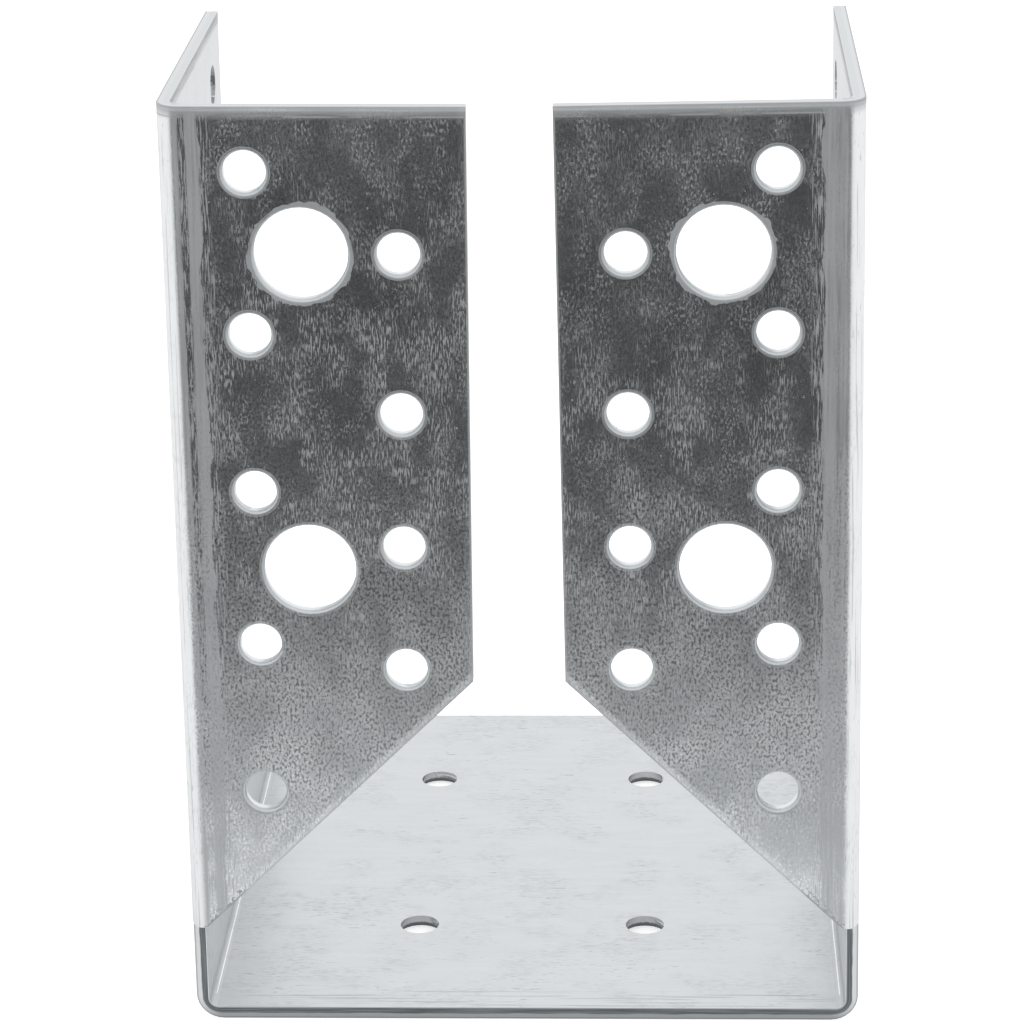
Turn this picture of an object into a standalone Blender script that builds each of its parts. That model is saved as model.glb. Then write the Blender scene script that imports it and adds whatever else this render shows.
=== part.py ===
"""A joist hanger with inward header flanges, punched and folded from one galvanised steel sheet.

The seat lies on the ground and the joist comes in from the back along Y. The two flanges face
the front (-Y), where they are nailed to the header. The origin is the middle of the footprint.
"""

import math

import bmesh
import bpy
from mathutils import Matrix, Vector

# The sheet and the pocket that it makes, in metres
SHEET = 0.0016
JOIST_WIDTH = 0.080
JOIST_PLAY = 0.0008
HEIGHT = 0.120
SEAT_DEPTH = 0.095

# Folds: the seat folds are pressed sharp inside, and the sides close in a little over the joist
SEAT_FOLD_RADIUS = 0.0034
SEAT_FOLD_INNER_RADIUS = 0.0012
FLANGE_FOLD_INNER_RADIUS = 0.0014
SIDE_LEAN = math.radians(0.5)
CUT_EDGE_SETBACK = 0.0003

# Side plates: a lip as deep as the seat, a taper, then a narrower plate up to the top
SIDE_DEPTH = 0.0505
LIP_HEIGHT = 0.008
TAPER_TOP_HEIGHT = 0.030

# Flanges: widths and columns are measured from the outer face of the side that carries them
FLANGE_WIDTH = 0.036
FLANGE_FOOT_HEIGHT = 0.0142
CHAMFER_START = 0.0018
CHAMFER_ANGLE = math.radians(45)
CHAMFER_FOOT_RADIUS = 0.0028

# Nail holes: drops are measured down from the top edge
NAIL_HOLE = 0.0051
TOP_HOLE_DROP = 0.0078
HOLE_PITCH = 0.0197
OUTER_COLUMN = 0.0102
OUTER_HOLES = 5
INNER_COLUMN = 0.0279
INNER_HOLE_DROPS = (0.01765, 0.03735, 0.0542, 0.0701)
SIDE_HOLES = 5
SIDE_COLUMN_MARGIN = 0.008
SIDE_COLUMN_SPACING = 0.021
SEAT_COLUMN_SPACING = 0.030
SEAT_ROW_MARGIN = 0.0229

# Bolt holes in the flanges
BOLT_HOLE = 0.0111
BOLT_COLUMN = 0.0165
BOLT_HOLE_DROPS = (0.01765, 0.05705)

# A punch breaks out of the outer face in a cone, and the zinc rounds every sheared edge
BREAKOUT_WIDTH = 0.0003
BREAKOUT_DEPTH = 0.0005
EDGE_ROUNDING = 0.0002

# How finely the round forms are faceted
FOLD_STEPS = 8
FOOT_STEPS = 3
ROUNDING_STEPS = 2
NAIL_HOLE_FACETS = 28
BOLT_HOLE_FACETS = 44

CUTTER_REACH = 0.001
SMOOTH_BELOW = math.radians(30)
FLAT_WITHIN = math.radians(0.05)
WELD = 0.000001

ZINC_GREY = (0.56, 0.58, 0.60, 1)
ZINC_ROUGHNESS = 0.38

# Worked out from the sizes above
FLANGE_FOLD_RADIUS = FLANGE_FOLD_INNER_RADIUS + SHEET
FOLD_CENTRE_X = (JOIST_WIDTH + JOIST_PLAY) / 2 + SHEET - SEAT_FOLD_RADIUS
FRONT_Y = -SEAT_DEPTH / 2
BACK_Y = SEAT_DEPTH / 2
CUT_EDGE_Y = FRONT_Y + FLANGE_FOLD_RADIUS + CUT_EDGE_SETBACK
ALONG_SIDE = Vector((-math.sin(SIDE_LEAN), 0, math.cos(SIDE_LEAN)))
ACROSS_FLANGE = Vector((-math.cos(SIDE_LEAN), 0, -math.sin(SIDE_LEAN)))


def run_to(height):
    """The distance up the leaning side, from the end of the seat fold, to a height over the ground."""
    return (height - SEAT_FOLD_RADIUS * (1 + math.sin(SIDE_LEAN))) / math.cos(SIDE_LEAN)


TOP_RUN = run_to(HEIGHT)
LIP_RUN = run_to(LIP_HEIGHT)
TAPER_TOP_RUN = run_to(TAPER_TOP_HEIGHT)
FOOT_RUN = run_to(FLANGE_FOOT_HEIGHT)


def clear_scene():
    for obj in list(bpy.data.objects):
        bpy.data.objects.remove(obj, do_unlink=True)


def new_collection(name):
    collection = bpy.data.collections.new(name)
    bpy.context.scene.collection.children.link(collection)
    return collection


def zinc():
    """Bright hot-dip zinc."""
    material = bpy.data.materials.new("Galvanised steel")
    material.use_nodes = True
    shader = material.node_tree.nodes["Principled BSDF"]
    shader.inputs["Base Color"].default_value = ZINC_GREY
    shader.inputs["Metallic"].default_value = 1
    shader.inputs["Roughness"].default_value = ZINC_ROUGHNESS
    return material


def drawn_out(bm, edges, move):
    """Extrudes edges into a strip of faces and returns the strip's far edges."""
    made = bmesh.ops.extrude_edge_only(bm, edges=edges)["geom"]
    verts = [item for item in made if isinstance(item, bmesh.types.BMVert)]
    bmesh.ops.translate(bm, verts=verts, vec=move)
    return [item for item in made if isinstance(item, bmesh.types.BMEdge)]


def folded(bm, edges, centre, axis, angle):
    """Turns edges about an axis into a rounded fold and returns the fold's far edges."""
    turn = Matrix.Rotation(angle / FOLD_STEPS, 3, axis)
    for _ in range(FOLD_STEPS):
        edges = drawn_out(bm, edges, Vector())
        verts = list({vert for edge in edges for vert in edge.verts})
        bmesh.ops.rotate(bm, cent=centre, matrix=turn, verts=verts)
    return edges


def on_side(run):
    """The point this far up the side's outer face, where the flange fold starts."""
    fold_centre = Vector((FOLD_CENTRE_X, CUT_EDGE_Y - CUT_EDGE_SETBACK, SEAT_FOLD_RADIUS))
    return fold_centre - ACROSS_FLANGE * SEAT_FOLD_RADIUS + ALONG_SIDE * run


def back_edge_y(run):
    """Where the side plate ends at the back, this far up it."""
    share = (run - LIP_RUN) / (TAPER_TOP_RUN - LIP_RUN)
    share = min(max(share, 0), 1)
    return BACK_Y + share * (FRONT_Y + SIDE_DEPTH - BACK_Y)


def add_side_plate(bm, edges):
    """Raises the side plate from the seat fold, row by row, and returns its front edges over the foot."""
    front_verts = []
    below = 0
    for run in sorted({LIP_RUN, FOOT_RUN, TAPER_TOP_RUN, TOP_RUN}):
        edges = drawn_out(bm, edges, ALONG_SIDE * (run - below))
        front, back = sorted(edges[0].verts, key=lambda vert: vert.co.y)
        back.co.y = back_edge_y(run)
        if run >= FOOT_RUN:
            front_verts.append(front)
        below = run
    return [bm.edges.get(pair) for pair in zip(front_verts, front_verts[1:])]


def add_flange(bm, edges):
    """Folds the flange in from the side's front edges and returns its faces."""
    before = set(bm.faces)
    edges = drawn_out(bm, edges, Vector((0, -CUT_EDGE_SETBACK, 0)))
    fold_centre = on_side(0) + ACROSS_FLANGE * FLANGE_FOLD_RADIUS
    edges = folded(bm, edges, fold_centre, ALONG_SIDE, math.radians(-90))
    drawn_out(bm, edges, ACROSS_FLANGE * (FLANGE_WIDTH - FLANGE_FOLD_RADIUS))
    return set(bm.faces) - before


def trim_foot(bm, faces):
    """Cuts the flange's foot to a chamfer that runs into the fold with an arc, one tangent at a time."""
    arc_start = CHAMFER_START - CHAMFER_FOOT_RADIUS * math.tan(CHAMFER_ANGLE / 2)
    arc_centre = on_side(FOOT_RUN + CHAMFER_FOOT_RADIUS) + ACROSS_FLANGE * arc_start
    for step in range(1, FOOT_STEPS + 1):
        slope = CHAMFER_ANGLE * step / FOOT_STEPS
        outward = ACROSS_FLANGE * math.sin(slope) - ALONG_SIDE * math.cos(slope)
        edges = {edge for face in faces for edge in face.edges}
        verts = {vert for face in faces for vert in face.verts}
        trimmed = bmesh.ops.bisect_plane(
            bm,
            geom=[*faces, *edges, *verts],
            plane_co=arc_centre + outward * CHAMFER_FOOT_RADIUS,
            plane_no=outward,
            clear_outer=True,
        )
        faces = [item for item in trimmed["geom"] if isinstance(item, bmesh.types.BMFace) and item.is_valid]


def half_of_outer_face():
    """The outer face of the right half, from the middle of the seat round both folds to the flange."""
    bm = bmesh.new()
    front = bm.verts.new((0, CUT_EDGE_Y, 0))
    back = bm.verts.new((0, BACK_Y, 0))
    edges = [bm.edges.new((front, back))]
    edges = drawn_out(bm, edges, Vector((FOLD_CENTRE_X, 0, 0)))
    seat = bm.faces[:][0]

    fold_centre = Vector((FOLD_CENTRE_X, 0, SEAT_FOLD_RADIUS))
    edges = folded(bm, edges, fold_centre, Vector((0, 1, 0)), -math.radians(90) - SIDE_LEAN)
    edges = add_side_plate(bm, edges)
    trim_foot(bm, add_flange(bm, edges))

    bmesh.ops.recalc_face_normals(bm, faces=bm.faces)
    seat.normal_update()
    if seat.normal.z > 0:
        bmesh.ops.reverse_faces(bm, faces=bm.faces)
    bmesh.ops.dissolve_limit(bm, angle_limit=FLAT_WITHIN, verts=bm.verts, edges=bm.edges)
    return bm


def punch_mesh(name, diameter, facets):
    """A punch with its rim on the sheet's outer face and +Z away from the sheet: bore, then cone."""
    radius = diameter / 2
    flare = BREAKOUT_WIDTH / BREAKOUT_DEPTH
    profile = (
        (0, -SHEET - CUTTER_REACH),
        (radius, -SHEET - CUTTER_REACH),
        (radius, -BREAKOUT_DEPTH),
        (radius + flare * (BREAKOUT_DEPTH + CUTTER_REACH), CUTTER_REACH),
        (0, CUTTER_REACH),
    )
    bm = bmesh.new()
    verts = [bm.verts.new((x, 0, z)) for x, z in profile]
    edges = [bm.edges.new(pair) for pair in zip(verts, verts[1:])]
    bmesh.ops.spin(
        bm,
        geom=[*verts, *edges],
        cent=(0, 0, 0),
        axis=(0, 0, 1),
        angle=math.tau,
        steps=facets,
        use_merge=True,
    )
    bmesh.ops.remove_doubles(bm, verts=bm.verts, dist=WELD)
    bmesh.ops.recalc_face_normals(bm, faces=bm.faces)
    mesh = bpy.data.meshes.new(name)
    bm.to_mesh(mesh)
    bm.free()
    return mesh


def place_punch(mesh, collection, place, outward, frame=None):
    punch = bpy.data.objects.new(mesh.name, mesh)
    punch.location = place
    punch.rotation_mode = "QUATERNION"
    punch.rotation_quaternion = Vector(outward).to_track_quat("Z", "Y")
    punch.parent = frame
    punch.hide_render = True
    punch.display_type = "WIRE"
    collection.objects.link(punch)


def side_frame(side, collection):
    """An empty on the seat fold's centre, turned with the leaning side: +Z runs up the side."""
    frame = bpy.data.objects.new("Left side" if side < 0 else "Right side", None)
    frame.location = (side * FOLD_CENTRE_X, 0, SEAT_FOLD_RADIUS)
    frame.rotation_euler = (0, -side * SIDE_LEAN, 0)
    collection.objects.link(frame)
    return frame


def flange_holes():
    """(kind of hole, column, drop) of every hole in one flange."""
    for row in range(OUTER_HOLES):
        yield "nail", OUTER_COLUMN, TOP_HOLE_DROP + row * HOLE_PITCH
    for drop in INNER_HOLE_DROPS:
        yield "nail", INNER_COLUMN, drop
    for drop in BOLT_HOLE_DROPS:
        yield "bolt", BOLT_COLUMN, drop


def place_punches(collection, frames):
    punches = {
        "nail": punch_mesh("Nail punch", NAIL_HOLE, NAIL_HOLE_FACETS),
        "bolt": punch_mesh("Bolt punch", BOLT_HOLE, BOLT_HOLE_FACETS),
    }
    for side in (-1, 1):
        frame = side_frame(side, frames)
        for kind, column, drop in flange_holes():
            place = (side * (SEAT_FOLD_RADIUS - column), FRONT_Y, TOP_RUN - drop)
            place_punch(punches[kind], collection, place, (0, -1, 0), frame)
        for row in range(SIDE_HOLES):
            inset = SIDE_COLUMN_MARGIN + row % 2 * SIDE_COLUMN_SPACING
            run = TOP_RUN - TOP_HOLE_DROP - row * HOLE_PITCH
            place = (side * SEAT_FOLD_RADIUS, FRONT_Y + SIDE_DEPTH - inset, run)
            place_punch(punches["nail"], collection, place, (side, 0, 0), frame)
        for y in (CUT_EDGE_Y + SEAT_ROW_MARGIN, BACK_Y - SEAT_ROW_MARGIN):
            place = (side * SEAT_COLUMN_SPACING / 2, y, 0)
            place_punch(punches["nail"], collection, place, (0, 0, -1))


def apply_modifiers(obj):
    """Makes the modifiers' result the object's own mesh."""
    bpy.context.view_layer.update()
    graph = bpy.context.evaluated_depsgraph_get()
    mesh = bpy.data.meshes.new_from_object(obj.evaluated_get(graph))
    obj.modifiers.clear()
    obj.data = mesh


def press_seat_folds(mesh):
    """Presses the inside of both seat folds to their own sharper arc, tangent to seat and side."""
    half_turn = (math.radians(90) + SIDE_LEAN) / 2
    shift = (SEAT_FOLD_RADIUS - SHEET - SEAT_FOLD_INNER_RADIUS) / math.cos(half_turn)
    for vert in mesh.vertices:
        side = math.copysign(1, vert.co.x)
        centre = Vector((side * FOLD_CENTRE_X, vert.co.y, SEAT_FOLD_RADIUS))
        arm = vert.co - centre
        if arm.length < SEAT_FOLD_RADIUS - SHEET / 2:
            sharp_centre = centre + shift * Vector((side * math.sin(half_turn), 0, -math.cos(half_turn)))
            vert.co = sharp_centre + arm.normalized() * SEAT_FOLD_INNER_RADIUS


def add_hanger(collection, punches):
    bm = half_of_outer_face()
    mesh = bpy.data.meshes.new("Hanger")
    bm.to_mesh(mesh)
    bm.free()
    mesh.materials.append(zinc())
    hanger = bpy.data.objects.new("joist_hanger", mesh)
    collection.objects.link(hanger)

    mirror = hanger.modifiers.new("Other half", "MIRROR")
    mirror.merge_threshold = WELD
    sheet = hanger.modifiers.new("Sheet", "SOLIDIFY")
    sheet.thickness = SHEET
    sheet.offset = -1
    sheet.use_even_offset = True
    apply_modifiers(hanger)
    press_seat_folds(hanger.data)

    rounding = hanger.modifiers.new("Sheared edges", "BEVEL")
    rounding.width = EDGE_ROUNDING
    rounding.segments = ROUNDING_STEPS
    rounding.limit_method = "ANGLE"
    rounding.angle_limit = SMOOTH_BELOW
    holes = hanger.modifiers.new("Holes", "BOOLEAN")
    holes.operation = "DIFFERENCE"
    holes.solver = "EXACT"
    holes.operand_type = "COLLECTION"
    holes.collection = punches
    apply_modifiers(hanger)
    hanger.data.shade_smooth()
    hanger.data.set_sharp_from_angle(angle=SMOOTH_BELOW)


clear_scene()
punch_collection = new_collection("Punches")
place_punches(punch_collection, new_collection("Side frames"))
add_hanger(new_collection("Joist hanger"), punch_collection)
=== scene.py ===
import math

import bpy
from mathutils import Matrix, Vector

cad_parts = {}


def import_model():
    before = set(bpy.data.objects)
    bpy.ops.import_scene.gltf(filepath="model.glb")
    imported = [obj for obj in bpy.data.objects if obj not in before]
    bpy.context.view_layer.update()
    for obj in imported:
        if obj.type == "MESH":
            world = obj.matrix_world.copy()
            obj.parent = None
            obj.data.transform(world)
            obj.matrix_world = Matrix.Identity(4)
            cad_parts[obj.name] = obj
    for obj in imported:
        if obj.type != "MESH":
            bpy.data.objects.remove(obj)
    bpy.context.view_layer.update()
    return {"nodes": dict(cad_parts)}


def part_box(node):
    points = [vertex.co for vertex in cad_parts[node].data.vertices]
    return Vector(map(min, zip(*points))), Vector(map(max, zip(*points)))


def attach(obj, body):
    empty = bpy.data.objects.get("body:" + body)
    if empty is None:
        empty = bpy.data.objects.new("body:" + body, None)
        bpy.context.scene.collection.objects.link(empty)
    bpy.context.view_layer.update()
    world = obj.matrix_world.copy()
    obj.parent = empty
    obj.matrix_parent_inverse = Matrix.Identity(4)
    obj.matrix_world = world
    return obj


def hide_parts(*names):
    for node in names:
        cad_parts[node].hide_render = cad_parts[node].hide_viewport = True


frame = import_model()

LOW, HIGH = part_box("joist_hanger")

# Millimetres in a metre, because the materials' patterns are measured in millimetres
MM = 1000

# The folded sheet, in metres and radians
SHEET = 0.0016
SEAT_FOLD_RADIUS = 0.0034
SEAT_FOLD_INNER_RADIUS = 0.0012
FLANGE_FOLD_RADIUS = 0.003
FLANGE_WIDTH = 0.036
FLANGE_FOOT_HEIGHT = 0.0142
CHAMFER_START = 0.0018
CHAMFER_ANGLE = math.radians(45)
CUT_EDGE_SETBACK = 0.0003
SIDE_DEPTH = 0.0505
SIDE_LEAN = math.radians(0.5)

# The holes, in metres: columns from the side's outer face, drops from the top edge
NAIL_HOLE = 0.0051
TOP_HOLE_DROP = 0.0078
HOLE_PITCH = 0.0197
OUTER_COLUMN = 0.0102
OUTER_HOLES = 5
INNER_COLUMN = 0.0279
INNER_HOLE_DROPS = (0.01765, 0.03735, 0.0542, 0.0701)
SIDE_HOLES = 5
SIDE_COLUMN_MARGIN = 0.008
SIDE_COLUMN_SPACING = 0.021
SEAT_HOLE_X = 0.015
SEAT_HOLE_BACK_Y = 0.0246
SEAT_HOLE_FRONT_Y = -0.0213
BOLT_HOLE = 0.0111
BOLT_COLUMN = 0.0165
BOLT_HOLE_DROPS = (0.01765, 0.05705)

# The photograph's camera: its place in metres, its turns in degrees, its lens and sensor in
# millimetres, and the distance in metres from which it sees
CAMERA_PLACE = (0.0172, -0.4396, 0.2172)
CAMERA_PITCH = 20.54
CAMERA_YAW = 2.585
CAMERA_ROLL = -1.063
FOCAL_LENGTH = 123.4
SENSOR_WIDTH = 36
CLIP_START = 0.01

# The sheet's finishes, in the order of its materials
ZINC, SHEARED, PUNCHED = range(3)

# Faces within this many millimetres of a face of the sheet belong to its zinc skin
SKIN = 0.03

# A cut face within this many millimetres of a hole's circle belongs to its bore
BORE_REACH = 0.45

# How the solid's triangles are joined: points this near, in metres, are one point, faces this nearly
# flat to each other are one face, and a fold below this angle shades smoothly
WELD = 0.000002
FLAT_WITHIN = math.radians(0.2)
SMOOTH_BELOW = math.radians(50)

# The floor, in metres, and the light that its paper gives off to the camera and to mirrored rays
FLOOR_SIZE = 8
FLOOR_DROP = 0.0001
FLOOR_LIFT = 0.6
MIRRORED_LIFT = 0.2

# The glowing card before the hanger, painted light and shade that the zinc mirrors, in metres: its edges,
# its height and how far ahead its pale tone falls to a third, then that pale tone and the dark one that it
# is added to
CARD_NEAR = -0.07
CARD_FAR = -0.99
CARD_NEAR_WIDTH = 0.12
CARD_FAR_WIDTH = 2.4
CARD_HEIGHT = 0.001
CARD_FADE = 0.113
CARD_PALE = 0.95
CARD_DARK = 0.07

# Soft ends for the part of a pattern that a map range picks out
STEP = {"interpolation_type": "SMOOTHSTEP"}


def run_to(height):
    """How far up a side's outer face, from the end of its fold, a point of this height lies."""
    return (height - SEAT_FOLD_RADIUS * (1 + math.sin(SIDE_LEAN))) / math.cos(SIDE_LEAN)


# Places on the flat blank that follow from the folds
FOLD_CENTRE_X = HIGH.x - SEAT_FOLD_RADIUS
FOLD_TURN = math.pi / 2 + SIDE_LEAN
FOLD_MIDDLE = FOLD_CENTRE_X + SEAT_FOLD_RADIUS * FOLD_TURN / 2
SIDE_START = FOLD_CENTRE_X + SEAT_FOLD_RADIUS * FOLD_TURN
TOP_EDGE = SIDE_START + run_to(HIGH.z)
CHAMFER_FOOT = SIDE_START + run_to(FLANGE_FOOT_HEIGHT)
FLANGE_FOLD_Y = LOW.y + FLANGE_FOLD_RADIUS
FRONT_EDGE = FLANGE_FOLD_Y + CUT_EDGE_SETBACK
FLANGE_START = FLANGE_FOLD_Y - FLANGE_FOLD_RADIUS * math.pi / 2
FREE_EDGE = FLANGE_START + FLANGE_FOLD_RADIUS - FLANGE_WIDTH
UP_SIDE = Vector((-math.sin(SIDE_LEAN), math.cos(SIDE_LEAN)))
INWARD = Vector((-math.cos(SIDE_LEAN), -math.sin(SIDE_LEAN)))


def to_linear(hex_colour):
    """An sRGB hex colour as linear RGBA."""
    channels = [int(hex_colour[i : i + 2], 16) / 255 for i in (1, 3, 5)]
    return [c / 12.92 if c <= 0.04045 else ((c + 0.055) / 1.055) ** 2.4 for c in channels] + [1]


def add_node(tree, kind, inputs=None, output=0, **settings):
    """Adds a node, sets it up, fills or links its inputs, and returns one of its outputs. Inputs go by
    name or number: a map range takes 1 to 2 and gives 3 to 4, and a colour mix goes from 6 to 7."""
    node = tree.nodes.new(kind)
    for name, value in settings.items():
        setattr(node, name, value)
    for key, value in (inputs or {}).items():
        if isinstance(value, bpy.types.NodeSocket):
            tree.links.new(value, node.inputs[key])
        else:
            node.inputs[key].default_value = value
    return node.outputs[output] if node.outputs else None


def new_material(name):
    """A material with an empty node tree, and that tree."""
    material = bpy.data.materials.new(name)
    material.use_nodes = True
    material.node_tree.nodes.clear()
    return material, material.node_tree


def pressed_corner():
    """The centre of the seat fold's sharper inner arc, as (x, z)."""
    shift = (SEAT_FOLD_RADIUS - SHEET - SEAT_FOLD_INNER_RADIUS) / math.cos(FOLD_TURN / 2)
    return Vector((
        FOLD_CENTRE_X + shift * math.sin(FOLD_TURN / 2),
        SEAT_FOLD_RADIUS - shift * math.cos(FOLD_TURN / 2),
    ))


def on_blank(place):
    """A point of the hanger on its flat blank: how far up the roll from the seat's middle, how far
    across it, and how deep below the outer face."""
    side = 1 if place.x > 0 else -1
    arm = Vector((abs(place.x) - FOLD_CENTRE_X, place.z - SEAT_FOLD_RADIUS))
    run = arm.dot(UP_SIDE)
    inset = SEAT_FOLD_RADIUS + arm.dot(INWARD)
    ahead = FLANGE_FOLD_Y - place.y
    if run < 0 and arm.x <= 0:
        return side * abs(place.x), place.y, place.z

    # The seat fold's inner arc is the sharper one, so a depth there is a share of the way between both
    if run < 0:
        up = FOLD_CENTRE_X + SEAT_FOLD_RADIUS * math.atan2(arm.x, -arm.y)
        to_outer = SEAT_FOLD_RADIUS - arm.length
        to_inner = (Vector((abs(place.x), place.z)) - pressed_corner()).length - SEAT_FOLD_INNER_RADIUS
        return side * up, place.y, SHEET * to_outer / (to_outer + to_inner)

    # The side, then the flange, then the fold between them
    up = SIDE_START + run
    if ahead <= 0:
        return side * up, place.y, inset
    if inset > FLANGE_FOLD_RADIUS:
        return side * up, FLANGE_START + FLANGE_FOLD_RADIUS - inset, FLANGE_FOLD_RADIUS - ahead
    turn = math.atan2(ahead, FLANGE_FOLD_RADIUS - inset)
    depth = FLANGE_FOLD_RADIUS - math.hypot(ahead, FLANGE_FOLD_RADIUS - inset)
    return side * up, FLANGE_FOLD_Y - FLANGE_FOLD_RADIUS * turn, depth


def blank_places(mesh):
    """The place on the blank of each point of a mesh, in millimetres."""
    return [Vector(on_blank(vert.co)) * MM for vert in mesh.vertices]


def nail_holes():
    """(up, across) of every nail hole in one half of the blank."""
    outer = FLANGE_START + FLANGE_FOLD_RADIUS - OUTER_COLUMN
    inner = FLANGE_START + FLANGE_FOLD_RADIUS - INNER_COLUMN
    for row in range(OUTER_HOLES):
        yield TOP_EDGE - TOP_HOLE_DROP - row * HOLE_PITCH, outer
    for drop in INNER_HOLE_DROPS:
        yield TOP_EDGE - drop, inner
    for row in range(SIDE_HOLES):
        inset = SIDE_COLUMN_MARGIN + row % 2 * SIDE_COLUMN_SPACING
        yield TOP_EDGE - TOP_HOLE_DROP - row * HOLE_PITCH, LOW.y + SIDE_DEPTH - inset
    yield SEAT_HOLE_X, SEAT_HOLE_BACK_Y
    yield SEAT_HOLE_X, SEAT_HOLE_FRONT_Y


def bolt_holes():
    """(up, across) of both bolt holes in one half of the blank."""
    for drop in BOLT_HOLE_DROPS:
        yield TOP_EDGE - drop, FLANGE_START + FLANGE_FOLD_RADIUS - BOLT_COLUMN


def in_a_bore(place):
    """Whether a place on the blank, in millimetres, lies on the wall of a hole."""
    spot = Vector((abs(place.x), place.y))
    for holes, radius in ((nail_holes(), NAIL_HOLE / 2), (bolt_holes(), BOLT_HOLE / 2)):
        for hole in holes:
            if (spot - Vector(hole) * MM).length < radius * MM + BORE_REACH:
                return True
    return False


def read_blank(tree):
    """The place of each point on the blank, in millimetres, and its three parts: up the roll, across
    it, and below the outer face."""
    blank = add_node(tree, "ShaderNodeAttribute", output="Vector", attribute_name="blank")
    parts = add_node(tree, "ShaderNodeSeparateXYZ", {0: blank}).node.outputs
    return blank, parts["X"], parts["Y"], parts["Z"]


def distance_from_rims(tree, place, centres, radius):
    """How far a place on the blank lies outside the nearest of these holes, in millimetres."""
    nearest = None
    for up, across in centres:
        centre = (up * MM, across * MM, 0)
        reach = add_node(tree, "ShaderNodeVectorMath", {0: place, 1: centre}, "Value", operation="DISTANCE")
        if nearest is not None:
            reach = add_node(tree, "ShaderNodeMath", {0: nearest, 1: reach}, operation="MINIMUM")
        nearest = reach
    return add_node(tree, "ShaderNodeMath", {0: nearest, 1: radius * MM}, operation="SUBTRACT")


def stretched_noise(tree, place, length, width, detail=2, depth=1):
    """Noise whose grains measure this much up the roll, across it and into it, in millimetres."""
    scaled = add_node(
        tree, "ShaderNodeVectorMath", {0: place, 1: (1 / length, 1 / width, 1 / depth)}, operation="MULTIPLY"
    )
    return add_node(tree, "ShaderNodeTexNoise", {"Vector": scaled, "Scale": 1, "Detail": detail}, "Fac")


def seat_crease_shade_and_highlight(tree, height, across, depth):
    """The inner face of the seat's folds: how much painted shade darkens its crease, and the bright line
    that the press tool's nose rubbed along it, painted pure white as a highlight, which ends short of the
    front edge."""
    inner = add_node(tree, "ShaderNodeMath", {0: depth, 1: SHEET * MM / 2}, operation="GREATER_THAN")
    off_middle = add_node(tree, "ShaderNodeMath", {0: height, 1: FOLD_MIDDLE * MM}, operation="SUBTRACT")
    off_line = add_node(tree, "ShaderNodeMath", {0: off_middle, 1: 0.4}, operation="ADD")
    off_line = add_node(tree, "ShaderNodeMath", {0: off_line}, operation="ABSOLUTE")
    off_middle = add_node(tree, "ShaderNodeMath", {0: off_middle}, operation="ABSOLUTE")
    # Painted shade in the crease of the seat's fold
    zone = add_node(tree, "ShaderNodeMapRange", {0: off_middle, 1: 1.2, 2: 1.7, 3: 0.3, 4: 0}, **STEP)
    zone = add_node(tree, "ShaderNodeMath", {0: zone, 1: inner}, operation="MULTIPLY")
    # The rub line, painted pure white as a highlight
    line = add_node(tree, "ShaderNodeMapRange", {0: off_line, 1: 0.05, 2: 0.16, 3: 1, 4: 0}, **STEP)
    line = add_node(tree, "ShaderNodeMath", {0: line, 1: inner}, operation="MULTIPLY")
    inside = add_node(tree, "ShaderNodeMath", {0: across, 1: FRONT_EDGE * MM}, operation="SUBTRACT")
    inside = add_node(tree, "ShaderNodeMapRange", {0: inside, 1: 3, 2: 3.6}, **STEP)
    return zone, add_node(tree, "ShaderNodeMath", {0: line, 1: inside}, operation="MULTIPLY")


def press_scuffs(tree, blank, up, below_top, on_flange):
    """Ragged matt dashes of 0.1 mm by 1 mm along the roll, in patches, thickest low down and from
    higher up on the left flange, and faint off the flanges."""
    dashes = stretched_noise(tree, blank, 1.1, 0.17, 7)
    dashes = add_node(tree, "ShaderNodeMapRange", {0: dashes, 1: 0.48, 2: 0.64}, **STEP)
    patches = stretched_noise(tree, blank, 8, 5, 7)
    patches = add_node(tree, "ShaderNodeMapRange", {0: patches, 1: 0.43, 2: 0.6}, **STEP)
    lag = add_node(tree, "ShaderNodeMapRange", {0: up, 1: -40, 2: 40, 4: 14})
    below = add_node(tree, "ShaderNodeMath", {0: below_top, 1: lag}, operation="SUBTRACT")
    lower = add_node(tree, "ShaderNodeMapRange", {0: below, 1: 2, 2: 34, 3: 0.25, 4: 1}, **STEP)
    faint = add_node(tree, "ShaderNodeMapRange", {0: on_flange, 3: 0.3, 4: 1})
    scuffs = add_node(tree, "ShaderNodeMath", {0: dashes, 1: patches}, operation="MULTIPLY")
    scuffs = add_node(tree, "ShaderNodeMath", {0: scuffs, 1: lower}, operation="MULTIPLY")
    return add_node(tree, "ShaderNodeMath", {0: scuffs, 1: faint}, operation="MULTIPLY")


def fine_scuffs(tree, blank, on_flange):
    """A matt grain of 0.2 mm by 0.4 mm all over the flanges, stronger in hazy patches."""
    grain = stretched_noise(tree, blank, 0.5, 0.25, 4)
    grain = add_node(tree, "ShaderNodeMapRange", {0: grain, 1: 0.44, 2: 0.7, 3: 0, 4: 0.5}, **STEP)
    haze = stretched_noise(tree, blank, 6, 4, 6)
    haze = add_node(tree, "ShaderNodeMapRange", {0: haze, 1: 0.44, 2: 0.62, 3: 0.15, 4: 1}, **STEP)
    grain = add_node(tree, "ShaderNodeMath", {0: grain, 1: haze}, operation="MULTIPLY")
    return add_node(tree, "ShaderNodeMath", {0: grain, 1: on_flange}, operation="MULTIPLY")


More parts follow.
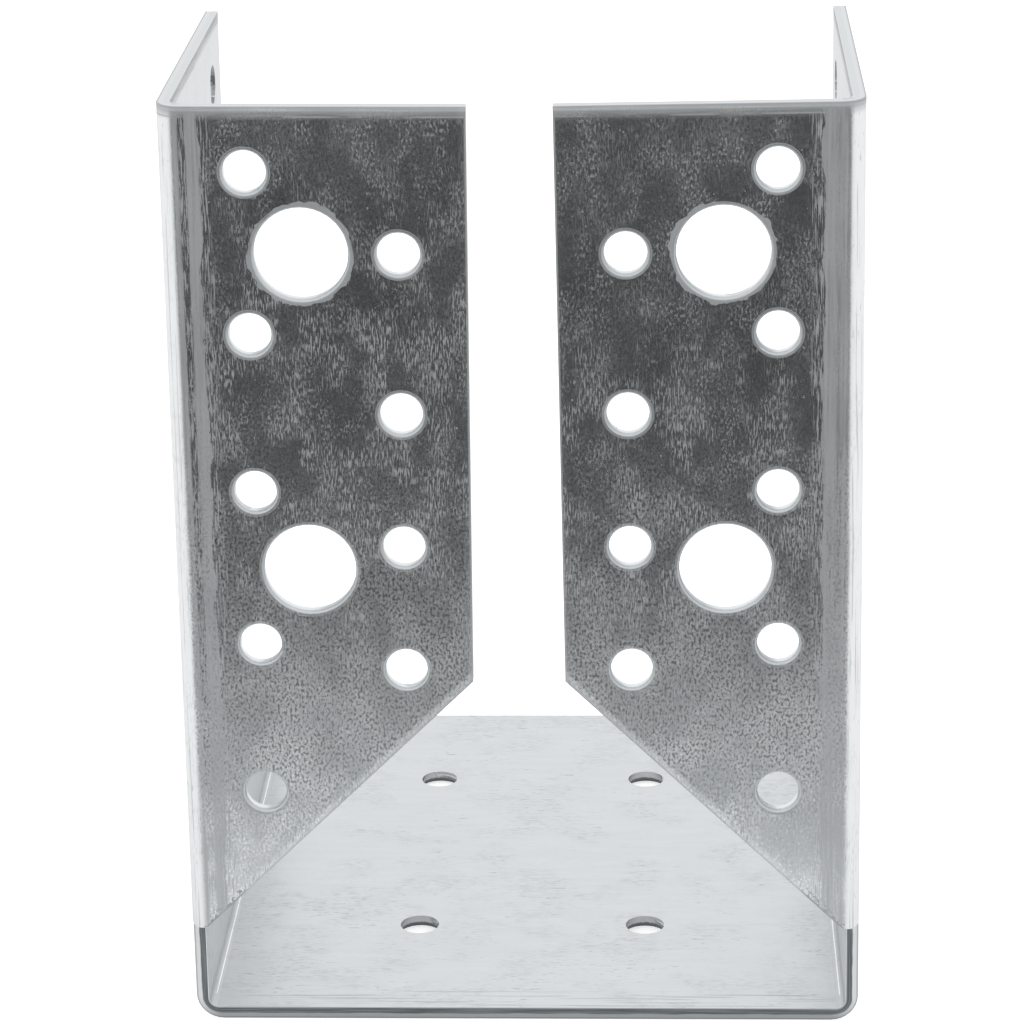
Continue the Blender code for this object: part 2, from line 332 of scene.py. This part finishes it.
def handling_nicks(tree, blank, across, on_flange):
    """Dark nicks of 0.2 mm by 1 mm on the seat and the sides, in loose groups, where sheets slid on
    each other, and longer scratches within 5 mm of the front edge."""
    nicks = stretched_noise(tree, blank, 1.5, 0.3, 3)
    nicks = add_node(tree, "ShaderNodeMapRange", {0: nicks, 1: 0.63, 2: 0.68, 3: 0, 4: 0.4}, **STEP)
    groups = stretched_noise(tree, blank, 8, 6)
    groups = add_node(tree, "ShaderNodeMapRange", {0: groups, 1: 0.45, 2: 0.6, 3: 0.15, 4: 1}, **STEP)
    nicks = add_node(tree, "ShaderNodeMath", {0: nicks, 1: groups}, operation="MULTIPLY")
    scratches = stretched_noise(tree, blank, 16, 0.35)
    scratches = add_node(tree, "ShaderNodeMapRange", {0: scratches, 1: 0.56, 2: 0.66, 3: 0, 4: 0.4}, **STEP)
    behind = add_node(tree, "ShaderNodeMath", {0: across, 1: FRONT_EDGE * MM}, operation="SUBTRACT")
    behind = add_node(tree, "ShaderNodeMapRange", {0: behind, 1: 3.5, 2: 5, 3: 1, 4: 0}, **STEP)
    scratches = add_node(tree, "ShaderNodeMath", {0: scratches, 1: behind}, operation="MULTIPLY")
    nicks = add_node(tree, "ShaderNodeMath", {0: nicks, 1: scratches}, operation="MAXIMUM")
    off_flange = add_node(tree, "ShaderNodeMath", {0: 1, 1: on_flange}, operation="SUBTRACT")
    return add_node(tree, "ShaderNodeMath", {0: nicks, 1: off_flange}, operation="MULTIPLY")


def zinc_specks(tree, blank, on_flange):
    """Specks of zinc dross, 0.2 to 0.4 mm across."""
    specks = stretched_noise(tree, blank, 0.6, 0.4)
    specks = add_node(tree, "ShaderNodeMapRange", {0: specks, 1: 0.70, 2: 0.76}, **STEP)
    faint = add_node(tree, "ShaderNodeMapRange", {0: on_flange, 3: 0.2, 4: 1})
    return add_node(tree, "ShaderNodeMath", {0: specks, 1: faint}, operation="MULTIPLY")


def worn_rings(tree, rim, on_flange):
    """A matt ring of 0.6 mm round each hole of the flanges, in circles of 0.1 mm that the punch left."""
    circles = add_node(tree, "ShaderNodeMath", {0: rim, 1: 9}, operation="MULTIPLY")
    circles = add_node(tree, "ShaderNodeTexNoise", {"W": circles, "Scale": 1}, "Fac", noise_dimensions="1D")
    circles = add_node(tree, "ShaderNodeMapRange", {0: circles, 1: 0.3, 2: 0.7, 3: 0.25, 4: 0.75}, **STEP)
    ring = add_node(tree, "ShaderNodeMapRange", {0: rim, 1: 0.5, 2: 0.66, 3: 1, 4: 0}, **STEP)
    ring = add_node(tree, "ShaderNodeMath", {0: ring, 1: on_flange}, operation="MULTIPLY")
    return add_node(tree, "ShaderNodeMath", {0: circles, 1: ring}, operation="MULTIPLY")


def flaked_rims(tree, blank, bolt_rim, below_top):
    """Ragged flakes, up to 1 mm wide, round the upper bolt holes."""
    ragged = stretched_noise(tree, blank, 2.5, 2.5, 5)
    reach = add_node(tree, "ShaderNodeMath", {0: ragged, 1: -2.4, 2: bolt_rim}, operation="MULTIPLY_ADD")
    flakes = add_node(tree, "ShaderNodeMapRange", {0: reach, 1: -0.6, 2: -0.45, 3: 0.8, 4: 0}, **STEP)
    upper = add_node(tree, "ShaderNodeMapRange", {0: below_top, 1: 25, 2: 35, 3: 1, 4: 0}, **STEP)
    return add_node(tree, "ShaderNodeMath", {0: flakes, 1: upper}, operation="MULTIPLY")


def die_strip(tree, blank, up, into_flange):
    """The strip that the die rubbed as it folded the flange: matt, with streaks of 0.2 mm along it, a
    glossy line where the bend ends, plainest on the left, and a ragged border of scratches."""
    rubbed = stretched_noise(tree, blank, 14, 0.3)
    rubbed = add_node(tree, "ShaderNodeMapRange", {0: rubbed, 1: 0.3, 2: 0.7, 3: 0.5, 4: 0.95}, **STEP)
    off_line = add_node(tree, "ShaderNodeMath", {0: into_flange, 1: 0.1}, operation="SUBTRACT")
    off_line = add_node(tree, "ShaderNodeMath", {0: off_line}, operation="ABSOLUTE")
    line = add_node(tree, "ShaderNodeMapRange", {0: up, 1: -40, 2: 40, 3: 0.05, 4: 0.75})
    level = add_node(tree, "ShaderNodeMapRange", {0: off_line, 1: 0.25, 2: 0.65, 3: line, 4: 1}, **STEP)
    begin = add_node(tree, "ShaderNodeMapRange", {0: into_flange, 1: -1.3, 2: -0.6}, **STEP)
    wander = stretched_noise(tree, blank, 5, 2, 4)
    reach = add_node(tree, "ShaderNodeMath", {0: wander, 1: 2, 2: into_flange}, operation="MULTIPLY_ADD")
    end = add_node(tree, "ShaderNodeMapRange", {0: reach, 1: 2.9, 2: 3.1, 3: 1, 4: 0}, **STEP)
    strip = add_node(tree, "ShaderNodeMath", {0: level, 1: rubbed}, operation="MULTIPLY")
    strip = add_node(tree, "ShaderNodeMath", {0: strip, 1: begin}, operation="MULTIPLY")
    strip = add_node(tree, "ShaderNodeMath", {0: strip, 1: end}, operation="MULTIPLY")
    scratches = stretched_noise(tree, blank, 3, 0.18, 3)
    scratches = add_node(tree, "ShaderNodeMapRange", {0: scratches, 1: 0.5, 2: 0.6, 4: 0.8}, **STEP)
    border = add_node(tree, "ShaderNodeMapRange", {0: reach, 1: 3.5, 2: 4.8, 3: 1, 4: 0}, **STEP)
    border = add_node(tree, "ShaderNodeMath", {0: border, 1: begin}, operation="MULTIPLY")
    scratches = add_node(tree, "ShaderNodeMath", {0: scratches, 1: border}, operation="MULTIPLY")
    return add_node(tree, "ShaderNodeMath", {0: strip, 1: scratches}, operation="MAXIMUM")


def shear_band(tree, blank, below_top):
    """A matt band of 1.7 mm along the sheared top edge, streaked along it and fading downwards, with a
    light line 1.2 mm down here and there."""
    streaks = stretched_noise(tree, blank, 0.25, 9)
    streaks = add_node(tree, "ShaderNodeMapRange", {0: streaks, 1: 0.3, 2: 0.7, 3: 0.6, 4: 1}, **STEP)
    band = add_node(tree, "ShaderNodeMapRange", {0: below_top, 1: 0.3, 2: 1.7, 3: 1, 4: 0})
    band = add_node(tree, "ShaderNodeMath", {0: band, 1: streaks}, operation="MULTIPLY")
    off_line = add_node(tree, "ShaderNodeMath", {0: below_top, 1: 1.2}, operation="SUBTRACT")
    off_line = add_node(tree, "ShaderNodeMath", {0: off_line}, operation="ABSOLUTE")
    line = add_node(tree, "ShaderNodeMapRange", {0: off_line, 1: 0.03, 2: 0.16, 3: 0.85, 4: 0}, **STEP)
    here = stretched_noise(tree, blank, 5, 12)
    here = add_node(tree, "ShaderNodeMapRange", {0: here, 1: 0.45, 2: 0.6}, **STEP)
    line = add_node(tree, "ShaderNodeMath", {0: line, 1: here}, operation="MULTIPLY")
    return add_node(tree, "ShaderNodeMath", {0: band, 1: line}, operation="MAXIMUM")


def flange_edges(tree, height, across, into_flange):
    """How far inside its chamfer a place on a flange lies, and how far inside the nearer of its
    chamfer and its free edge."""
    chamfer = (CHAMFER_FOOT + FLANGE_FOLD_RADIUS - CHAMFER_START) * MM
    slant = math.cos(CHAMFER_ANGLE)
    rise = add_node(tree, "ShaderNodeMath", {0: height, 1: into_flange}, operation="SUBTRACT")
    rise = add_node(tree, "ShaderNodeMath", {0: rise, 1: chamfer}, operation="SUBTRACT")
    from_chamfer = add_node(tree, "ShaderNodeMath", {0: rise, 1: slant}, operation="MULTIPLY")
    from_free_edge = add_node(tree, "ShaderNodeMath", {0: across, 1: FREE_EDGE * MM}, operation="SUBTRACT")
    from_edge = add_node(tree, "ShaderNodeMath", {0: from_free_edge, 1: from_chamfer}, operation="MINIMUM")
    return from_chamfer, from_edge


def edge_line(tree, from_edge, on_flange):
    """A matt line of 0.2 mm along a flange's free edge and its chamfer."""
    line = add_node(tree, "ShaderNodeMapRange", {0: from_edge, 1: 0.12, 2: 0.32, 3: 0.55, 4: 0}, **STEP)
    return add_node(tree, "ShaderNodeMath", {0: line, 1: on_flange}, operation="MULTIPLY")


def squeezed_zinc(tree, blank, below_top, from_edge, on_flange):
    """Where the zinc of the flanges was squeezed: bright crowns of 0.2 mm, and what is dull, which is
    dark pits between them and wide blotches. Crowns and pits are thickest low down, the pits thin out
    again at the foot, and what is dull fades at the edges."""
    squeezed = stretched_noise(tree, blank, 0.42, 0.3)
    low = add_node(tree, "ShaderNodeMapRange", {0: below_top, 1: 30, 2: 60, 3: 0.3, 4: 0.85}, **STEP)
    crowns = add_node(tree, "ShaderNodeMapRange", {0: squeezed, 1: 0.32, 2: 0.44, 3: 1, 4: 0}, **STEP)
    crowns = add_node(tree, "ShaderNodeMath", {0: crowns, 1: low}, operation="MULTIPLY")
    crowns = add_node(tree, "ShaderNodeMath", {0: crowns, 1: on_flange}, operation="MULTIPLY")
    foot = add_node(tree, "ShaderNodeMapRange", {0: below_top, 1: 80, 2: 100, 3: 1, 4: 0.25}, **STEP)
    pits = add_node(tree, "ShaderNodeMapRange", {0: squeezed, 1: 0.5, 2: 0.6}, **STEP)
    pits = add_node(tree, "ShaderNodeMath", {0: pits, 1: low}, operation="MULTIPLY")
    pits = add_node(tree, "ShaderNodeMath", {0: pits, 1: foot}, operation="MULTIPLY")
    blotches = stretched_noise(tree, blank, 9, 7, 5)
    blotches = add_node(tree, "ShaderNodeMapRange", {0: blotches, 1: 0.38, 2: 0.62, 3: 0, 4: 0.35}, **STEP)
    dull = add_node(tree, "ShaderNodeMath", {0: pits, 1: blotches}, operation="MAXIMUM")
    clear = add_node(tree, "ShaderNodeMapRange", {0: from_edge, 1: 0.1, 2: 1.2, 3: 0.2, 4: 1}, **STEP)
    return crowns, add_node(tree, "ShaderNodeMath", {0: dull, 1: clear}, operation="MULTIPLY")


def foot_bruises(tree, blank, into_flange, from_chamfer):
    """Bruises of 0.3 mm and a dark lip along the foot of the chamfer, which was folded with the side."""
    bruises = stretched_noise(tree, blank, 0.5, 0.4)
    bruises = add_node(tree, "ShaderNodeMapRange", {0: bruises, 1: 0.5, 2: 0.58}, **STEP)
    near = add_node(tree, "ShaderNodeMapRange", {0: from_chamfer, 1: 0.4, 2: 1.3, 3: 0.9, 4: 0}, **STEP)
    bruises = add_node(tree, "ShaderNodeMath", {0: bruises, 1: near}, operation="MULTIPLY")
    lip = add_node(tree, "ShaderNodeMapRange", {0: from_chamfer, 1: 0.1, 2: 0.3, 3: 0.9, 4: 0}, **STEP)
    bruises = add_node(tree, "ShaderNodeMath", {0: bruises, 1: lip}, operation="MAXIMUM")
    by_fold = add_node(tree, "ShaderNodeMapRange", {0: into_flange, 1: 3.5, 2: 5, 3: 1, 4: 0}, **STEP)
    return add_node(tree, "ShaderNodeMath", {0: bruises, 1: by_fold}, operation="MULTIPLY")


def fold_sheen(tree, across, depth, on_flange):
    """The outside of the flanges' folds and 1.5 mm of the sides behind them, painted lighter as a painted
    sheen.
    """
    outer = add_node(tree, "ShaderNodeMath", {0: depth, 1: SHEET * MM / 2}, operation="LESS_THAN")
    burnished = add_node(tree, "ShaderNodeMapRange", {
        0: across, 1: FLANGE_FOLD_Y * MM, 2: FLANGE_FOLD_Y * MM + 1.5, 3: 1, 4: 0,
    }, **STEP)
    burnished = add_node(tree, "ShaderNodeMath", {
        0: burnished, 1: on_flange,
    }, operation="SUBTRACT", use_clamp=True)
    return add_node(tree, "ShaderNodeMath", {0: burnished, 1: outer}, operation="MULTIPLY")


def zinc_relief(tree, blank, rim, below_top, from_chamfer, on_flange):
    """The zinc's own orange peel of 0.4 mm, and how the sheet rolls off at the holes, the top edge and
    the chamfer."""
    peel = stretched_noise(tree, blank, 0.6, 0.5, 1)
    at_hole = add_node(tree, "ShaderNodeMapRange", {0: rim, 1: 0, 2: 0.5, 3: -0.03, 4: 0}, **STEP)
    at_top = add_node(tree, "ShaderNodeMapRange", {0: below_top, 1: 0, 2: 0.6, 3: -0.06, 4: 0}, **STEP)
    at_foot = add_node(tree, "ShaderNodeMapRange", {0: from_chamfer, 1: 0, 2: 1.1, 3: -0.07, 4: 0}, **STEP)
    at_foot = add_node(tree, "ShaderNodeMath", {0: at_foot, 1: on_flange}, operation="MULTIPLY")
    relief = add_node(tree, "ShaderNodeMath", {0: peel, 1: 0.008, 2: at_hole}, operation="MULTIPLY_ADD")
    relief = add_node(tree, "ShaderNodeMath", {0: relief, 1: at_top}, operation="ADD")
    relief = add_node(tree, "ShaderNodeMath", {0: relief, 1: at_foot}, operation="ADD")
    return add_node(tree, "ShaderNodeBump", {"Height": relief, "Distance": 1 / MM})


def galvanised_sheet():
    """Steel sheet galvanised in the strip: a bright, slightly mottled zinc skin that mirrors its
    surroundings softly, with matt scuffs along the roll from the press tools and the punch, a painted sheen
    on the flanges' folds, and painted shade and a painted highlight in the seat's crease."""
    material, tree = new_material("Galvanised sheet")
    blank, up, across, depth = read_blank(tree)
    height = add_node(tree, "ShaderNodeMath", {0: up}, operation="ABSOLUTE")

    # How far a place lies outside the holes, below the top edge and into a flange, in millimetres
    half_blank = add_node(tree, "ShaderNodeCombineXYZ", {0: height, 1: across})
    nail_rim = distance_from_rims(tree, half_blank, nail_holes(), NAIL_HOLE / 2)
    bolt_rim = distance_from_rims(tree, half_blank, bolt_holes(), BOLT_HOLE / 2)
    rim = add_node(tree, "ShaderNodeMath", {0: nail_rim, 1: bolt_rim}, operation="MINIMUM")
    below_top = add_node(tree, "ShaderNodeMath", {0: TOP_EDGE * MM, 1: height}, operation="SUBTRACT")
    into_flange = add_node(tree, "ShaderNodeMath", {0: FLANGE_START * MM, 1: across}, operation="SUBTRACT")
    on_flange = add_node(tree, "ShaderNodeMapRange", {0: into_flange, 1: -1.6, 2: -0.8}, **STEP)
    from_chamfer, from_edge = flange_edges(tree, height, across, into_flange)

    matt = press_scuffs(tree, blank, up, below_top, on_flange)
    for layer in (
        fine_scuffs(tree, blank, on_flange),
        zinc_specks(tree, blank, on_flange),
        worn_rings(tree, rim, on_flange),
        flaked_rims(tree, blank, bolt_rim, below_top),
        die_strip(tree, blank, up, into_flange),
        shear_band(tree, blank, below_top),
        edge_line(tree, from_edge, on_flange),
    ):
        matt = add_node(tree, "ShaderNodeMath", {0: matt, 1: layer}, operation="MAXIMUM")

    # The pits, blotches and bruises keep to the flanges, and the crease's painted shade and the nicks lie
    # elsewhere
    crowns, dull = squeezed_zinc(tree, blank, below_top, from_edge, on_flange)
    bruises = foot_bruises(tree, blank, into_flange, from_chamfer)
    dull = add_node(tree, "ShaderNodeMath", {0: dull, 1: bruises}, operation="MAXIMUM")
    dull = add_node(tree, "ShaderNodeMath", {0: dull, 1: on_flange}, operation="MULTIPLY")
    crease, crease_rub_highlight = seat_crease_shade_and_highlight(tree, height, across, depth)
    for layer in (crease, handling_nicks(tree, blank, across, on_flange)):
        dull = add_node(tree, "ShaderNodeMath", {0: dull, 1: layer}, operation="MAXIMUM")

    # Pale clouds along the roll, 1 mm by 9 mm, then each finish, painted sheen, painted shade and painted
    # highlight over the one before
    clouds = stretched_noise(tree, blank, 9, 1.2)
    clouds = add_node(tree, "ShaderNodeMapRange", {0: clouds, 1: 0.3, 2: 0.7}, **STEP)
    colour = to_linear("#D8DBDD")
    for layer, tone in (
        (clouds, "#DBDEE0"),
        # A painted sheen along the outside of the flanges' folds
        (fold_sheen(tree, across, depth, on_flange), "#EDEFF0"),
        (crowns, "#F6F8F9"),
        # Pits, blotches, bruises and nicks, and the painted shade of the seat's crease
        (dull, "#7E8284"),
        # The crease's rub line as a painted white highlight
        (crease_rub_highlight, "#FFFFFF"),
        (matt, "#ABAEB0"),
    ):
        colour = add_node(tree, "ShaderNodeMix", {
            "Factor": layer, 6: colour, 7: to_linear(tone),
        }, 2, data_type="RGBA")
    metallic = add_node(tree, "ShaderNodeMath", {0: matt, 1: -0.6, 2: 1}, operation="MULTIPLY_ADD")

    # The flanges are polished by the folding die, and the rest has the strip's own haze
    haze = add_node(tree, "ShaderNodeMapRange", {0: on_flange, 3: 0.32, 4: 0.18})
    roughness = add_node(tree, "ShaderNodeMath", {0: matt, 1: 0.28, 2: haze}, operation="MULTIPLY_ADD")
    normal = zinc_relief(tree, blank, rim, below_top, from_chamfer, on_flange)
    surface = add_node(tree, "ShaderNodeBsdfPrincipled", {
        "Base Color": colour, "Metallic": metallic, "Roughness": roughness, "Normal": normal,
    })
    add_node(tree, "ShaderNodeOutputMaterial", {"Surface": surface})
    return material


def sheared_edge():
    """Steel cut by the shear: a smooth burnished zone from the outer face, then torn grain, nearly all of it
    along the front, where the blank was cropped, and painted dark there as shade, between a painted shade
    line along the outer face and a painted highlight on the inner arris. The seat's front edge is painted
    darker than the sides', as shade."""
    material, tree = new_material("Sheared edge")
    blank, up, across, depth = read_blank(tree)
    height = add_node(tree, "ShaderNodeMath", {0: up}, operation="ABSOLUTE")

    from_front = add_node(tree, "ShaderNodeMath", {0: across, 1: FRONT_EDGE * MM}, operation="SUBTRACT")
    from_front = add_node(tree, "ShaderNodeMath", {0: from_front}, operation="ABSOLUTE")
    front = add_node(tree, "ShaderNodeMapRange", {0: from_front, 1: 0.25, 2: 0.4, 3: 1, 4: 0})
    below_foot = add_node(tree, "ShaderNodeMapRange", {
        0: height, 1: CHAMFER_FOOT * MM - 1, 2: CHAMFER_FOOT * MM + 1, 3: 1, 4: 0,
    })
    front = add_node(tree, "ShaderNodeMath", {0: front, 1: below_foot}, operation="MULTIPLY")

    grain = stretched_noise(tree, blank, 3, 0.5)
    torn_depth = add_node(tree, "ShaderNodeMath", {0: grain, 1: 0.3, 2: depth}, operation="MULTIPLY_ADD")
    torn = add_node(tree, "ShaderNodeMapRange", {0: torn_depth, 1: 0.8, 2: 0.95}, **STEP)
    # A painted highlight: the inner arris keeps the burnished colour, free of torn grain
    arris = add_node(tree, "ShaderNodeMapRange", {0: depth, 1: 1.42, 2: 1.5, 3: 1, 4: 0}, **STEP)
    # Torn grain shows fully on the front edges only, painted dark there as shade, and faintly elsewhere
    dark = add_node(tree, "ShaderNodeMapRange", {0: front, 3: 0.06, 4: 1})
    torn = add_node(tree, "ShaderNodeMath", {0: torn, 1: arris}, operation="MULTIPLY")
    torn = add_node(tree, "ShaderNodeMath", {0: torn, 1: dark}, operation="MULTIPLY")
    # A painted shade line along the outer face
    outline = add_node(tree, "ShaderNodeMapRange", {0: depth, 1: 0.1, 2: 0.3, 3: 0.5, 4: 0}, **STEP)

    # The seat's front edge, down at the floor, is painted darker than the sides', as shade
    on_seat = add_node(tree, "ShaderNodeMapRange", {
        0: height, 1: FOLD_CENTRE_X * MM, 2: SIDE_START * MM, 3: 1, 4: 0,
    }, **STEP)
    dull = add_node(tree, "ShaderNodeMath", {0: on_seat, 1: front}, operation="MULTIPLY")
    burnished = add_node(tree, "ShaderNodeMix", {
        "Factor": dull, 6: to_linear("#DADDDF"), 7: to_linear("#A9ADAF"),
    }, 2, data_type="RGBA")
    burnished = add_node(tree, "ShaderNodeMix", {
        "Factor": outline, 6: burnished, 7: to_linear("#6A6E70"),
    }, 2, data_type="RGBA")
    streaks = stretched_noise(tree, blank, 9, 9, 3, 0.16)
    streaks = add_node(tree, "ShaderNodeMapRange", {0: streaks, 1: 0.35, 2: 0.65}, **STEP)
    steel = add_node(tree, "ShaderNodeMix", {
        "Factor": streaks, 6: to_linear("#65696B"), 7: to_linear("#85898B"),
    }, 2, data_type="RGBA")
    colour = add_node(tree, "ShaderNodeMix", {"Factor": torn, 6: burnished, 7: steel}, 2, data_type="RGBA")
    roughness = add_node(tree, "ShaderNodeMapRange", {0: torn, 3: 0.3, 4: 0.55})
    normal = add_node(tree, "ShaderNodeBump", {"Height": grain, "Distance": 0.02 / MM})
    surface = add_node(tree, "ShaderNodeBsdfPrincipled", {
        "Base Color": colour, "Metallic": 1, "Roughness": roughness, "Normal": normal,
    })
    add_node(tree, "ShaderNodeOutputMaterial", {"Surface": surface})
    return material


def punched_bore():
    """Steel cut by the punch: a bore burnished bright from the inner face, that breaks out in a
    duller, rougher cone at the outer face. The bores of the seat and the sides are painted darker, their
    cones most, as shade."""
    material, tree = new_material("Punched bore")
    blank, _, across, depth = read_blank(tree)
    grain = stretched_noise(tree, blank, 0.3, 0.3)
    torn_depth = add_node(tree, "ShaderNodeMath", {0: grain, 1: 0.3, 2: depth}, operation="MULTIPLY_ADD")
    torn = add_node(tree, "ShaderNodeMapRange", {0: torn_depth, 1: 0.75, 2: 0.9, 3: 1, 4: 0}, **STEP)

    # The bores of the seat and the sides are painted darker than the flanges', as painted shade
    shaded_bores = add_node(tree, "ShaderNodeMath", {0: across, 1: FLANGE_FOLD_Y * MM}, operation="GREATER_THAN")
    smooth = add_node(tree, "ShaderNodeMix", {
        "Factor": shaded_bores, 6: to_linear("#E8EBED"), 7: to_linear("#D2D5D7"),
    }, 2, data_type="RGBA")
    rough = add_node(tree, "ShaderNodeMix", {
        "Factor": shaded_bores, 6: to_linear("#D5D9DB"), 7: to_linear("#85898B"),
    }, 2, data_type="RGBA")
    colour = add_node(tree, "ShaderNodeMix", {"Factor": torn, 6: smooth, 7: rough}, 2, data_type="RGBA")
    roughness = add_node(tree, "ShaderNodeMapRange", {0: torn, 3: 0.3, 4: 0.5})
    surface = add_node(tree, "ShaderNodeBsdfPrincipled", {
        "Base Color": colour, "Metallic": 1, "Roughness": roughness,
    })
    add_node(tree, "ShaderNodeOutputMaterial", {"Surface": surface})
    return material


def finish_of(places):
    """The finish of a face with these corners on the blank."""
    depths = [place.z for place in places]
    if max(depths) < SKIN or min(depths) > SHEET * MM - SKIN:
        return ZINC
    return PUNCHED if all(in_a_bore(place) for place in places) else SHEARED


def folded_sheet():
    """The hanger's sheet: the solid's own surface with its triangles joined, so that its folds shade
    smoothly."""
    sheet = bpy.data.objects.new("folded_sheet", frame["nodes"]["joist_hanger"].data.copy())
    bpy.context.scene.collection.objects.link(sheet)
    bpy.ops.object.select_all(action="DESELECT")
    sheet.select_set(True)
    bpy.context.view_layer.objects.active = sheet
    mesh = sheet.data
    bpy.ops.object.mode_set(mode="EDIT")
    bpy.ops.mesh.select_all(action="SELECT")
    bpy.ops.mesh.remove_doubles(threshold=WELD)
    bpy.ops.mesh.select_mode(type="FACE")
    bpy.ops.mesh.select_all(action="DESELECT")
    bpy.ops.object.mode_set(mode="OBJECT")

    # Only the skin's triangles are joined, because a depth on the cut edges needs theirs
    places = blank_places(mesh)
    for face in mesh.polygons:
        face.material_index = finish_of([places[index] for index in face.vertices])
        face.select = face.material_index == ZINC
    bpy.ops.object.mode_set(mode="EDIT")
    bpy.ops.mesh.dissolve_limited(angle_limit=FLAT_WITHIN, delimit={"MATERIAL"})
    bpy.ops.object.mode_set(mode="OBJECT")
    bpy.ops.object.shade_smooth_by_angle(angle=SMOOTH_BELOW)
    bpy.ops.object.modifier_add(type="WEIGHTED_NORMAL")
    sheet.modifiers[-1].keep_sharp = True
    bpy.ops.object.modifier_apply(modifier=sheet.modifiers[-1].name)

    # The patterns follow this attribute, in millimetres
    blank = mesh.attributes.new("blank", "FLOAT_VECTOR", "POINT")
    for item, place in zip(blank.data, blank_places(mesh)):
        item.vector = place

    # Clearing the solid's own material resets the faces' finishes, so they are kept aside
    finishes = [face.material_index for face in mesh.polygons]
    mesh.materials.clear()
    for material in (galvanised_sheet(), sheared_edge(), punched_bore()):
        mesh.materials.append(material)
    for face, finish in zip(mesh.polygons, finishes):
        face.material_index = finish
    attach(sheet, "root")
    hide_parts("joist_hanger")


def floor():
    """White paper, bright enough to the camera to be white, that keeps the hanger's shadow."""
    bpy.ops.mesh.primitive_plane_add(size=FLOOR_SIZE, location=(0, 0, -FLOOR_DROP))
    plane = bpy.context.object
    plane.name = "Floor"
    material, tree = new_material("White paper")
    camera_ray = add_node(tree, "ShaderNodeLightPath", output="Is Camera Ray")
    ray = camera_ray.node.outputs
    mirrored = add_node(tree, "ShaderNodeMath", {
        0: ray["Is Glossy Ray"], 1: ray["Is Transmission Ray"],
    }, operation="MAXIMUM")
    mirrored = add_node(tree, "ShaderNodeMath", {0: mirrored, 1: MIRRORED_LIFT}, operation="MULTIPLY")
    lift = add_node(tree, "ShaderNodeMath", {
        0: camera_ray, 1: FLOOR_LIFT, 2: mirrored,
    }, operation="MULTIPLY_ADD")
    glow = add_node(tree, "ShaderNodeEmission", {"Color": (1, 1, 1, 1), "Strength": lift})
    paper = add_node(tree, "ShaderNodeBsdfDiffuse", {"Color": to_linear("#E8E8E8")})
    surface = add_node(tree, "ShaderNodeAddShader", {0: paper, 1: glow})
    add_node(tree, "ShaderNodeOutputMaterial", {"Surface": surface})
    plane.data.materials.append(material)


def painted_shade_card():
    """A glowing card on the floor before the hanger, which only the upright zinc's mirrored rays see:
    painted light and shade that stand in for the shaded room before the hanger. It widens away from the
    hanger and shades from white into black."""
    middle = (CARD_NEAR + CARD_FAR) / 2
    bpy.ops.mesh.primitive_plane_add(size=1, location=(0, middle, CARD_HEIGHT))
    card = bpy.context.object
    card.name = "Painted shade card"
    card.scale = (CARD_NEAR_WIDTH, CARD_NEAR - CARD_FAR, 1)
    bpy.ops.object.transform_apply(location=True, rotation=False, scale=True)
    bpy.ops.object.mode_set(mode="EDIT")
    bpy.ops.mesh.select_mode(type="VERT")
    bpy.ops.mesh.select_all(action="DESELECT")
    bpy.ops.object.mode_set(mode="OBJECT")
    for vert in card.data.vertices:
        vert.select = vert.co.y < middle
    bpy.ops.object.mode_set(mode="EDIT")
    widening = CARD_FAR_WIDTH / CARD_NEAR_WIDTH
    bpy.ops.transform.resize(value=(widening, 1, 1), center_override=(0, CARD_FAR, 0))
    bpy.ops.object.mode_set(mode="OBJECT")

    # Only mirrored rays see the card
    card.visible_camera = False
    card.visible_diffuse = False
    card.visible_shadow = False
    card.visible_transmission = False

    # The card's painted shade: its pale glow falls away from the hanger as a bell curve does
    material, tree = new_material("Painted shade card")
    place = add_node(tree, "ShaderNodeTexCoord", output="Object")
    y = add_node(tree, "ShaderNodeSeparateXYZ", {0: place}, "Y")
    ahead = add_node(tree, "ShaderNodeMath", {0: LOW.y, 1: y}, operation="SUBTRACT")
    ahead = add_node(tree, "ShaderNodeMath", {0: ahead, 1: CARD_FADE}, operation="DIVIDE")
    fall = add_node(tree, "ShaderNodeMath", {0: ahead, 1: 2}, operation="POWER")
    fall = add_node(tree, "ShaderNodeMath", {0: fall, 1: -1}, operation="MULTIPLY")
    fall = add_node(tree, "ShaderNodeMath", {0: fall}, operation="EXPONENT")
    tone = add_node(tree, "ShaderNodeMath", {
        0: fall, 1: CARD_PALE, 2: CARD_DARK,
    }, operation="MULTIPLY_ADD", use_clamp=True)
    surface = add_node(tree, "ShaderNodeEmission", {"Color": (1, 1, 1, 1), "Strength": tone})
    add_node(tree, "ShaderNodeOutputMaterial", {"Surface": surface})
    card.data.materials.append(material)


def world():
    """Even white light from all round, as in a light tent, and no lamp."""
    studio = bpy.data.worlds.new("Studio")
    bpy.context.scene.world = studio
    studio.use_nodes = True
    background = studio.node_tree.nodes["Background"]
    background.inputs["Color"].default_value = (1, 1, 1, 1)
    background.inputs["Strength"].default_value = 1


def camera():
    """The photograph's camera, which stands before the hanger and looks down at it."""
    data = bpy.data.cameras.new("Camera")
    data.lens = FOCAL_LENGTH
    data.sensor_width = SENSOR_WIDTH
    data.clip_start = CLIP_START
    eye = bpy.data.objects.new("Camera", data)
    turn = (
        Matrix.Rotation(math.radians(CAMERA_YAW), 4, "Z")
        @ Matrix.Rotation(math.radians(90 - CAMERA_PITCH), 4, "X")
        @ Matrix.Rotation(math.radians(CAMERA_ROLL), 4, "Z")
    )
    eye.matrix_world = Matrix.Translation(CAMERA_PLACE) @ turn
    bpy.context.scene.collection.objects.link(eye)
    bpy.context.scene.camera = eye


bpy.context.scene.view_settings.view_transform = "Standard"
camera()
floor()
painted_shade_card()
world()
folded_sheet()
